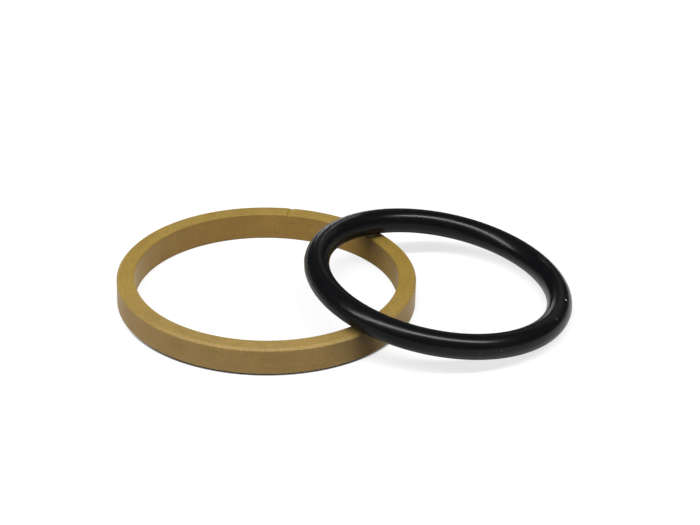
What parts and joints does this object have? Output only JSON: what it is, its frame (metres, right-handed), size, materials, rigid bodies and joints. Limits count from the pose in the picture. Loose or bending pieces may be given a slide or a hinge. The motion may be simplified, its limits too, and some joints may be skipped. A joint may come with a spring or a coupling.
{
  "type": "two-piece piston seal",
  "caption": "Two-piece piston seal: a rectangular bronze-filled slide ring lying flat, with a black rubber O-ring leaning on its edge.",
  "frame": {"origin": "middle of the slide ring: on its axis, halfway up its height", "axes": "+Z along the slide ring's axis and up from the surface that both pieces lie on; +X along the longest extent, towards the O-ring"},
  "size_m": [0.0639, 0.042, 0.0088],
  "materials": {
    "bronze_filled_ptfe": "turned, low sheen",
    "nitrile_rubber": "moulded, satin"
  },
  "bodies": {
    "root": {"slide_ring": "bronze_filled_ptfe", "o_ring": "nitrile_rubber"}
  },
  "joints": []
}
